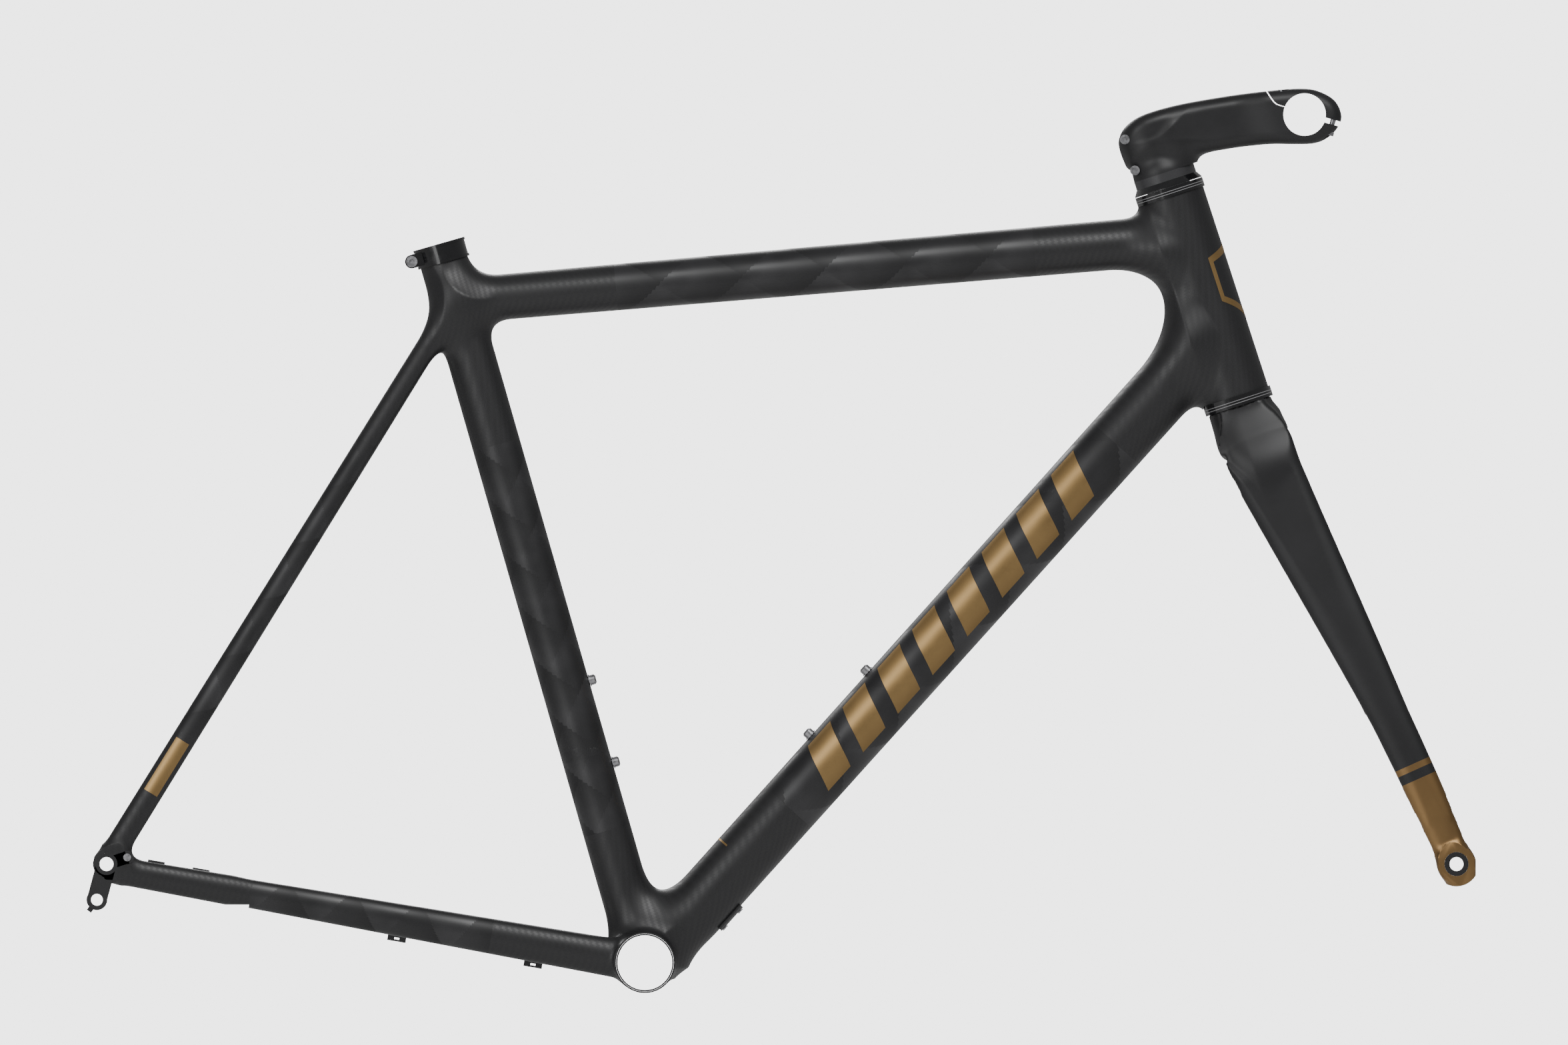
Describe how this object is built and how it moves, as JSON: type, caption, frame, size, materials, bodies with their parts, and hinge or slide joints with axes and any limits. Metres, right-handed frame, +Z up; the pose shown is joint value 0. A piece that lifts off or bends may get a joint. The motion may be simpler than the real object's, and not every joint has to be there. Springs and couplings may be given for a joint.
{
  "type": "bicycle frameset",
  "caption": "Carbon road-bike frameset: filament-wound tubes in twill lugs, tapered straight fork that steers on a headset, black stem, seat clamp and derailleur hanger.",
  "frame": {"origin": "centre of the bottom bracket shell, on the frame's middle plane", "axes": "+X forward, +Y to the rider's left along the bottom bracket, +Z up, wheels level on the ground"},
  "size_m": [1.0421, 0.1614, 0.6786],
  "materials": {
    "twill_carbon": "2x2 twill carbon under satin lacquer",
    "wound_carbon": "filament-wound carbon under lacquer",
    "satin_carbon": "satin black paint over carbon",
    "gold_tips": "dark gold metallic paint",
    "gloss_black": "gloss black",
    "satin_black": "satin black anodised aluminium",
    "screws": "stainless steel",
    "bearing_steel": "ground bearing steel"
  },
  "bodies": {
    "frame": {"head_lug": "twill_carbon", "seat_lug": "twill_carbon", "bb_lug": "twill_carbon", "rear_dropout_right": "twill_carbon", "rear_dropout_left": "twill_carbon", "top_tube": "wound_carbon", "down_tube": "wound_carbon", "seat_tube": "wound_carbon", "chainstay_right": "wound_carbon", "chainstay_left": "wound_carbon", "seatstay_right": "wound_carbon", "seatstay_left": "wound_carbon", "bb_sleeve": "satin_black", "seatpost_sleeve": "satin_black", "seat_clamp": "satin_black", "seat_clamp_bolt": "screws", "seat_clamp_nut": "screws", "derailleur_hanger": "satin_black", "hanger_screw": "screws", "rear_axle_insert": "satin_black", "bottle_inserts": "screws", "bottle_screws": "screws", "cable_guides": "satin_black", "port_cover": "gloss_black", "port_cover_screws": "screws", "brake_mount_pads": "satin_black", "upper_cup": "gloss_black", "lower_cup": "gloss_black", "upper_outer_race": "bearing_steel", "lower_outer_race": "bearing_steel"},
    "fork": {"lower_inner_race": "bearing_steel", "upper_inner_race": "bearing_steel", "crown_race": "satin_black", "compression_ring": "satin_black", "bearing_cover": "gloss_black", "headset_spacer": "gloss_black", "steerer": "satin_carbon", "fork_crown": "satin_carbon", "fork_leg_right": "satin_carbon", "fork_leg_left": "satin_carbon", "fork_tip_right": "gold_tips", "fork_tip_left": "gold_tips", "fork_axle_nut": "satin_black", "fork_brake_inserts": "satin_black", "stem_body": "satin_black", "stem_faceplate": "satin_black", "faceplate_top_bolts": "screws", "faceplate_front_bolts": "screws", "stem_pinch_bolts": "screws", "stem_pinch_nuts": "screws", "stem_top_cap": "satin_black", "expander_plug": "satin_black", "preload_bolt": "screws"},
    "upper_ball_ring": {"upper_balls": "bearing_steel"},
    "lower_ball_ring": {"lower_balls": "bearing_steel"}
  },
  "joints": [
    {"name": "steering", "type": "hinge", "parent": "frame", "child": "fork", "pos_m": [0.44641, 0, 0.41661], "axis": [-0.309, 0, 0.9511], "range_deg": [-150, 150]},
    {"name": "upper_ball_roll", "type": "hinge", "parent": "frame", "child": "upper_ball_ring", "pos_m": [0.44641, 0, 0.41661], "axis": [-0.309, 0, 0.9511], "range_deg": [-71, 71]},
    {"name": "lower_ball_roll", "type": "hinge", "parent": "frame", "child": "lower_ball_ring", "pos_m": [0.44641, 0, 0.41661], "axis": [-0.309, 0, 0.9511], "range_deg": [-71, 71]}
  ],
  "couplings": [
    {"joint": "upper_ball_roll", "follows": "steering", "ratio": 0.47},
    {"joint": "lower_ball_roll", "follows": "steering", "ratio": 0.47}
  ]
}
